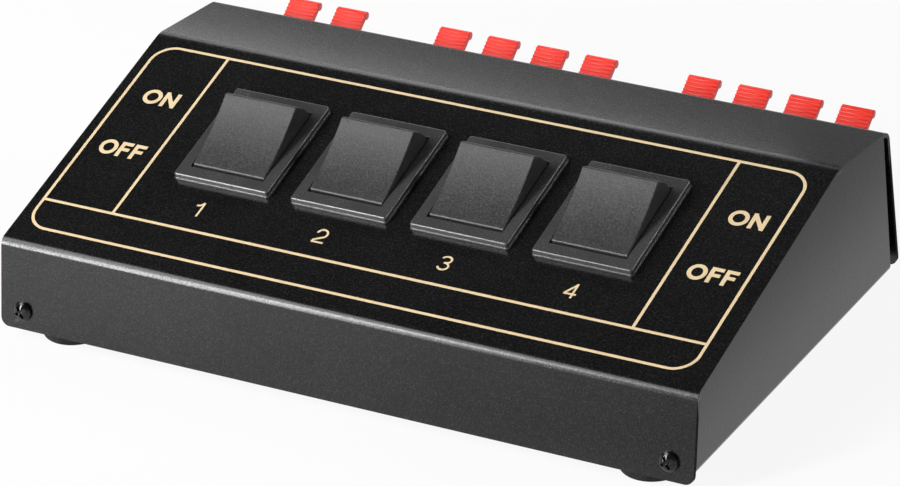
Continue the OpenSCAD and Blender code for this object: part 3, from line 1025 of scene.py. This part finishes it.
@dataclass
class PanelPrint:
    """Thin gold lines and characters on the control panel, in millimetres on the slope."""

    shop: PieceShop
    outline: CaseOutline
    left: float = -87.15
    right: float = 85.2
    low: float = 5.87
    middle: float = 14.97
    high: float = 70.9
    corner: float = 5.6
    left_rule: float = -68.25
    right_rule: float = 66.93
    line_w: float = 0.75
    rise: float = 0.03
    root: float = 0.03
    digit_w: float = 0.52
    letter_w: float = 1.02
    digit_h: float = 4.6
    letter_h: float = 4.95
    digit_base: float = 19.6
    digit_one_wide: float = 1.9
    digit_wide: float = 3.1
    digit_x: tuple[float, ...] = (-48.9, -16.05, 16.25, 48.4)
    lift_step: float = 0.0015
    mitre_floor: float = 0.45
    word_bases: dict[str, float] = field(
        default_factory=lambda: {"on": 51.25, "off": 32.75}
    )
    word_starts: dict[str, dict[str, float]] = field(
        default_factory=lambda: {
            "left": {"on": -82.1, "off": -83.5},
            "right": {"on": 72.3, "off": 70.8},
        }
    )
    words: dict[str, tuple[tuple[Mark, float, float], ...]] = field(
        default_factory=lambda: {
            "on": (
                (Mark.LETTER_O, 0.0, 4.9),
                (Mark.LETTER_N, 5.35, 4.0),
            ),
            "off": (
                (Mark.LETTER_O, 0.0, 4.7),
                (Mark.LETTER_F, 5.15, 3.1),
                (Mark.LETTER_F, 8.85, 3.1),
            ),
        }
    )

    def build(self) -> None:
        """Builds the frame lines, the digits and the position words."""
        self._piece("print_frame", self._frame_lines(), self.line_w)
        for number, x in enumerate(self.digit_x, start=1):
            mark = Mark(str(number))
            width = self.digit_one_wide if mark is Mark.DIGIT_1 else self.digit_wide
            glyph = Glyph(
                x - width / 2, self.digit_base, width, self.digit_h, self.digit_w
            )
            self._piece(f"print_digit_{number}", GLYPHS[mark](glyph), self.digit_w)
        for side, starts in self.word_starts.items():
            for word, base in self.word_bases.items():
                strokes = []
                for mark, offset, width in self.words[word]:
                    glyph = Glyph(
                        starts[word] + offset, base, width, self.letter_h, self.letter_w
                    )
                    strokes += GLYPHS[mark](glyph)
                self._piece(f"print_{word}_{side}", strokes, self.letter_w)

    def _frame_lines(self) -> list[Stroke]:
        """Returns the outer frame with round corners, the cross line and two upright rules."""
        r = self.corner
        loop: list[Point] = []
        corners = (
            ((self.right - r, self.high - r), 0.0),
            ((self.left + r, self.high - r), 90.0),
            ((self.left + r, self.low + r), 180.0),
            ((self.right - r, self.low + r), 270.0),
        )
        for middle, start in corners:
            loop += arc(middle, (r, r), start, 90.0, 14)
        return [
            Stroke(tuple(loop), closed=True),
            Stroke(((self.left, self.middle), (self.right, self.middle))),
            Stroke(((self.left_rule, self.middle), (self.left_rule, self.high))),
            Stroke(((self.right_rule, self.middle), (self.right_rule, self.high))),
        ]

    def _piece(self, name: str, strokes: list[Stroke], pen: float) -> None:
        """Makes one printed piece of some strokes and lays it on the panel.

        Args:
            name: The piece's name.
            strokes: Its strokes, in millimetres on the panel.
            pen: The width of the strokes.
        """
        work = bmesh.new()
        for number, stroke in enumerate(strokes):
            self._ribbon(work, stroke, pen, number * self.lift_step)
        work.transform(self.outline.slope_frame(0.0, 0.0))
        piece = self.shop.finished(name, work, PRINT_GOLD, smooth=False)
        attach(piece, CASE_BODY)
        LOG.info("piece %s printed with %d strokes", name, len(strokes))

    def _ribbon(
        self, work: bmesh.types.BMesh, stroke: Stroke, pen: float, lift: float
    ) -> None:
        """Adds a raised ribbon along a stroke, with mitred bends.

        Args:
            work: The mesh that takes the ribbon.
            stroke: The stroke.
            pen: The ribbon's width.
            lift: Extra height, so that crossing ribbons' faces don't coincide.
        """
        points = [Vector(p) for p in stroke.points]
        count = len(points)
        rows = []
        for i, here in enumerate(points):
            before = points[i - 1] if (i > 0 or stroke.closed) else None
            after = points[(i + 1) % count] if (i < count - 1 or stroke.closed) else None
            come = (here - before).normalized() if before is not None else None
            go = (after - here).normalized() if after is not None else None
            come = go if come is None else come
            go = come if go is None else go
            side_in, side_out = Vector((-come.y, come.x)), Vector((-go.y, go.x))
            side = (side_in + side_out).normalized()
            reach = pen / 2 / max(self.mitre_floor, side.dot(side_in))
            rows.append(
                [
                    work.verts.new((*(here + side * reach), -self.root)),
                    work.verts.new((*(here + side * reach), self.rise + lift)),
                    work.verts.new((*(here - side * reach), self.rise + lift)),
                    work.verts.new((*(here - side * reach), -self.root)),
                ]
            )
        last = count if stroke.closed else count - 1
        for i in range(last):
            a, b = rows[i], rows[(i + 1) % count]
            for k in range(4):
                work.faces.new((a[k], b[k], b[(k + 1) % 4], a[(k + 1) % 4]))
        if not stroke.closed:
            work.faces.new(rows[0])
            work.faces.new(rows[-1][::-1])


@dataclass
class RockerSwitch:
    """One snap-in rocker switch: bezel and body, rocker and contacts."""

    shop: PieceShop
    outline: CaseOutline
    number: int
    rocker_edges: EdgeWork = EdgeWork(width=0.3, segments=3, sharp_from=35.0, clamp=False)
    bezel_edges: EdgeWork = EdgeWork(width=0.36, segments=4, clamp=False)
    bezel_top: float = 1.7
    rim_half_w: float = 11.5
    rim_half_l: float = 14.0
    pitch: float = 31.4
    shift: float = 0.1
    up: float = 45.1
    low_share: float = 0.22
    middle_number: float = (SWITCH_COUNT + 1) / 2

    def _share(self, middle: Vector) -> float:
        """Gives the bezel's outer top edge its full rounding and the other edges less.

        Args:
            middle: The middle of an edge, in metres.

        Returns:
            The share of the full width.
        """
        x = self.shift + self.pitch * (self.number - self.middle_number)
        here = self.outline.slope_frame(x, self.up).inverted() @ middle
        outer = abs(here.x) > self.rim_half_w or abs(here.y) > self.rim_half_l
        return 1.0 if outer and here.z > self.bezel_top else self.low_share

    def build(self) -> None:
        """Builds the switch's visible pieces and dresses its inner ones."""
        i = self.number
        self.shop.eased(
            f"bezel_and_body_{i}",
            f"switch_housing_{i}",
            BEZEL_PLASTIC,
            "switch_housing",
            self.bezel_edges,
            self._share,
        )
        self.shop.eased(
            f"rocker_cap_{i}",
            f"rocker_{i}",
            ROCKER_PLASTIC,
            "rocker_plastic",
            self.rocker_edges,
        )
        self.shop.dress(f"plungers_{i}", BRASS)
        self.shop.dress(f"plunger_springs_{i}", PLATED)
        self.shop.dress(f"seesaws_{i}", BRASS)
        self.shop.dress(f"terminals_{i}", PLATED)


@dataclass
class PushTerminalBlock:
    """One row pair of push terminals: block, clamps and levers."""

    shop: PieceShop
    name: str
    columns: int
    block_edges: EdgeWork = EdgeWork(width=0.2, segments=2)
    lever_edges: EdgeWork = EdgeWork(width=0.16, segments=2, sharp_from=40.0)

    def build(self) -> None:
        """Builds the block and its levers."""
        self.shop.eased(
            f"terminal_body_{self.name}",
            f"block_{self.name}",
            BLOCK_PLASTIC,
            "block_plastic",
            self.block_edges,
        )
        self.shop.dress(f"clamps_{self.name}", BRASS)
        for row, finish in (("red", LEVER_RED), ("black", LEVER_BLACK)):
            for column in range(1, self.columns + 1):
                self.shop.eased(
                    f"push_tab_{self.name}_{row}_{column}",
                    f"lever_{self.name}_{row}_{column}",
                    finish,
                    f"lever_{row}",
                    self.lever_edges,
                )


# ---- Studio ----


@dataclass(frozen=True)
class Softbox:
    """A rectangular lamp that faces the object."""

    name: str
    place: tuple[float, float, float]
    size: tuple[float, float]
    power: float
    aim: tuple[float, float, float] = (0.0, 0.0, 0.02)

    def build(self) -> None:
        """Hangs the lamp and turns it to its aim."""
        data = bpy.data.lights.new(self.name, "AREA")
        data.shape = "RECTANGLE"
        data.size, data.size_y = self.size
        data.energy = self.power
        lamp = bpy.data.objects.new(self.name, data)
        bpy.context.scene.collection.objects.link(lamp)
        lamp.location = self.place
        lamp.visible_camera = False
        lamp.rotation_mode = "QUATERNION"
        towards = Vector(self.aim) - Vector(self.place)
        lamp.rotation_quaternion = towards.to_track_quat("-Z", "Y")


@dataclass
class Studio:
    """Pale floor, soft lamps and the camera."""

    outline: CaseOutline
    focal_px: float = 5068.646
    image_w: float = 900.0
    sensor: float = 36.0
    centre: tuple[float, float, float] = (531.55, -828.31, 569.64)
    right: tuple[float, float, float] = (0.87101, 0.48781, -0.05813)
    down: tuple[float, float, float] = (0.18787, -0.44008, -0.87808)
    forward: tuple[float, float, float] = (-0.45392, 0.7539, -0.47496)
    floor_half: float = 6.0
    floor_white: float = 0.9
    floor_rough: float = 0.9
    floor_shine: float = 0.1
    floor_seen: float = 0.9
    front_glow: tuple[Point, Point] = ((-0.13, 1.4), (0.06, 0.62))
    side_glow: tuple[Point, Point] = ((0.095, 1.0), (0.13, 0.42))
    glow_turn: Point = (-0.09, -0.055)
    sky_levels: tuple[Point, ...] = ((0.05, 1.0), (0.28, 0.2), (0.6, 0.04))
    softboxes: tuple[Softbox, ...] = (
        Softbox("lamp_tall", (-0.63, -0.95, 0.45), (0.14, 0.92), 16.0),
        Softbox("lamp_high", (-0.6, -0.5, 0.9), (0.62, 0.5), 6.0),
        Softbox("lamp_ridge", (-0.55, 0.84, 0.66), (0.3, 0.22), 0.6),
        Softbox(
            "lamp_strip",
            place=(-0.1, 0.095, 0.0766),
            size=(0.3, 0.01),
            power=0.026,
            aim=(-0.107, 0.015, 0.044),
        ),
        Softbox("lamp_rim", (0.79, 0.55, 0.72), (0.2, 0.2), 2.4),
    )

    def build(self) -> None:
        """Builds the floor, the world, the lamps and the camera."""
        self._floor()
        self._world()
        for box in self.softboxes:
            box.build()
        self._camera()

    def _floor(self) -> None:
        """Lays a pale floor that shows white to the camera and keeps the shadow."""
        h = self.floor_half
        work = bmesh.new()
        corners = [
            work.verts.new((x, y, 0.0)) for x, y in ((-h, -h), (h, -h), (h, h), (-h, h))
        ]
        work.faces.new(corners)
        mesh = bpy.data.meshes.new("floor")
        work.to_mesh(mesh)
        work.free()
        floor = bpy.data.objects.new("floor", mesh)
        bpy.context.scene.collection.objects.link(floor)
        material = bpy.data.materials.new("floor_white")
        material.use_nodes = True
        nodes, links = material.node_tree.nodes, material.node_tree.links
        nodes.clear()
        out = nodes.new("ShaderNodeOutputMaterial")
        surface = nodes.new("ShaderNodeBsdfPrincipled")
        surface.inputs["Base Color"].default_value = (*[self.floor_white] * 3, 1.0)
        surface.inputs["Roughness"].default_value = self.floor_rough
        surface.inputs["Specular IOR Level"].default_value = self.floor_shine
        glow = nodes.new("ShaderNodeEmission")
        glow.inputs["Color"].default_value = (1.0, 1.0, 1.0, 1.0)
        rays = nodes.new("ShaderNodeLightPath")
        links.new(
            self._floor_glow(material, rays.outputs["Is Camera Ray"]),
            glow.inputs["Strength"],
        )
        seen = math_node(nodes, "MULTIPLY", self.floor_seen)
        shown = math_node(nodes, "MAXIMUM")
        mirrored = math_node(nodes, "MAXIMUM")
        mix = nodes.new("ShaderNodeMixShader")
        links.new(rays.outputs["Is Camera Ray"], seen.inputs[0])
        links.new(rays.outputs["Is Glossy Ray"], mirrored.inputs[0])
        links.new(rays.outputs["Is Transmission Ray"], mirrored.inputs[1])
        links.new(seen.outputs[0], shown.inputs[0])
        links.new(mirrored.outputs[0], shown.inputs[1])
        links.new(shown.outputs[0], mix.inputs["Fac"])
        links.new(surface.outputs["BSDF"], mix.inputs[1])
        links.new(glow.outputs["Emission"], mix.inputs[2])
        links.new(mix.outputs["Shader"], out.inputs["Surface"])
        mesh.materials.append(material)
        LOG.info("floor laid")

    def _floor_glow(
        self, material: bpy.types.Material, straight: bpy.types.NodeSocket
    ) -> bpy.types.NodeSocket:
        """Grades what the floor shows in mirrored rays, and keeps it even for the camera.

        Args:
            material: The floor's material.
            straight: The socket that is one for rays from the camera.

        Returns:
            The socket with the floor's level.
        """
        nodes, links = material.node_tree.nodes, material.node_tree.links
        place = nodes.new("ShaderNodeNewGeometry")
        split = nodes.new("ShaderNodeSeparateXYZ")
        links.new(place.outputs["Position"], split.inputs["Vector"])
        levels = []
        for start, end in (self.front_glow, self.side_glow):
            grade = range_node(nodes, start, end)
            grade.interpolation_type = "SMOOTHSTEP"
            links.new(split.outputs["X"], grade.inputs["Value"])
            levels.append(grade.outputs["Result"])
        turn = range_node(nodes, (self.glow_turn[0], 0.0), (self.glow_turn[1], 1.0))
        links.new(split.outputs["Y"], turn.inputs["Value"])
        mirrored = value_mix(nodes)
        links.new(turn.outputs["Result"], mirrored.inputs["Factor"])
        links.new(levels[0], mirrored.inputs["A"])
        links.new(levels[1], mirrored.inputs["B"])
        shown = value_mix(nodes)
        shown.inputs["B"].default_value = 1.0
        links.new(straight, shown.inputs["Factor"])
        links.new(mirrored.outputs["Result"], shown.inputs["A"])
        return shown.outputs["Result"]

    def _world(self) -> None:
        """Makes a white surround for the camera and a soft graded one for the light."""
        world = bpy.data.worlds.new("studio_surround")
        bpy.context.scene.world = world
        world.use_nodes = True
        nodes, links = world.node_tree.nodes, world.node_tree.links
        nodes.clear()
        out = nodes.new("ShaderNodeOutputWorld")
        where = nodes.new("ShaderNodeTexCoord")
        split = nodes.new("ShaderNodeSeparateXYZ")
        links.new(where.outputs["Generated"], split.inputs["Vector"])
        ramp = nodes.new("ShaderNodeValToRGB")
        for position, level in self.sky_levels[1:-1]:
            ramp.color_ramp.elements.new(position)
        for stop, (position, level) in zip(ramp.color_ramp.elements, self.sky_levels):
            stop.position = position
            stop.color = (level, level, level, 1.0)
        links.new(split.outputs["Z"], ramp.inputs["Fac"])
        light = nodes.new("ShaderNodeBackground")
        light.inputs["Strength"].default_value = 1.0
        links.new(ramp.outputs["Color"], light.inputs["Color"])
        white = nodes.new("ShaderNodeBackground")
        white.inputs["Color"].default_value = (1.0, 1.0, 1.0, 1.0)
        rays = nodes.new("ShaderNodeLightPath")
        mix = nodes.new("ShaderNodeMixShader")
        links.new(rays.outputs["Is Camera Ray"], mix.inputs["Fac"])
        links.new(light.outputs["Background"], mix.inputs[1])
        links.new(white.outputs["Background"], mix.inputs[2])
        links.new(mix.outputs["Shader"], out.inputs["Surface"])

    def _camera(self) -> None:
        """Sets the camera where the photograph was taken from."""
        data = bpy.data.cameras.new("camera")
        data.sensor_fit = "HORIZONTAL"
        data.sensor_width = self.sensor
        data.lens = self.focal_px * self.sensor / self.image_w
        data.clip_start, data.clip_end = 0.05, 30.0
        camera = bpy.data.objects.new("camera", data)
        bpy.context.scene.collection.objects.link(camera)
        right, up, back = (
            Vector(self.right),
            -Vector(self.down),
            -Vector(self.forward),
        )
        turn = Matrix((right, up, back)).transposed().to_4x4()
        place = Vector(self.centre) + Vector(
            (0.0, -self.outline.depth_mid, self.outline.foot_drop)
        )
        camera.matrix_world = Matrix.Translation(place * MM) @ turn
        bpy.context.scene.camera = camera
        LOG.info("camera set with a lens of %.1f mm", data.lens)


# ---- Order of work ----


def main() -> None:
    """Loads the solids, builds the pieces and the studio."""
    logging.basicConfig(level=logging.INFO, format="%(name)s: %(message)s")
    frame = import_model()
    outline = CaseOutline()
    shop = PieceShop(frame["nodes"], EffectShelf())
    CaseShell(shop, outline).build()
    PanelPrint(shop, outline).build()
    for number in range(1, SWITCH_COUNT + 1):
        RockerSwitch(shop, outline, number).build()
    for name, columns in BLOCK_COLUMNS.items():
        PushTerminalBlock(shop, name, columns).build()
    shop.dress("block_rivets", RIVET)
    shop.dress("leads", LEAD_RED)
    Studio(outline).build()
    scene = bpy.context.scene
    scene.view_settings.view_transform = "Standard"


if __name__ == "__main__":
    main()
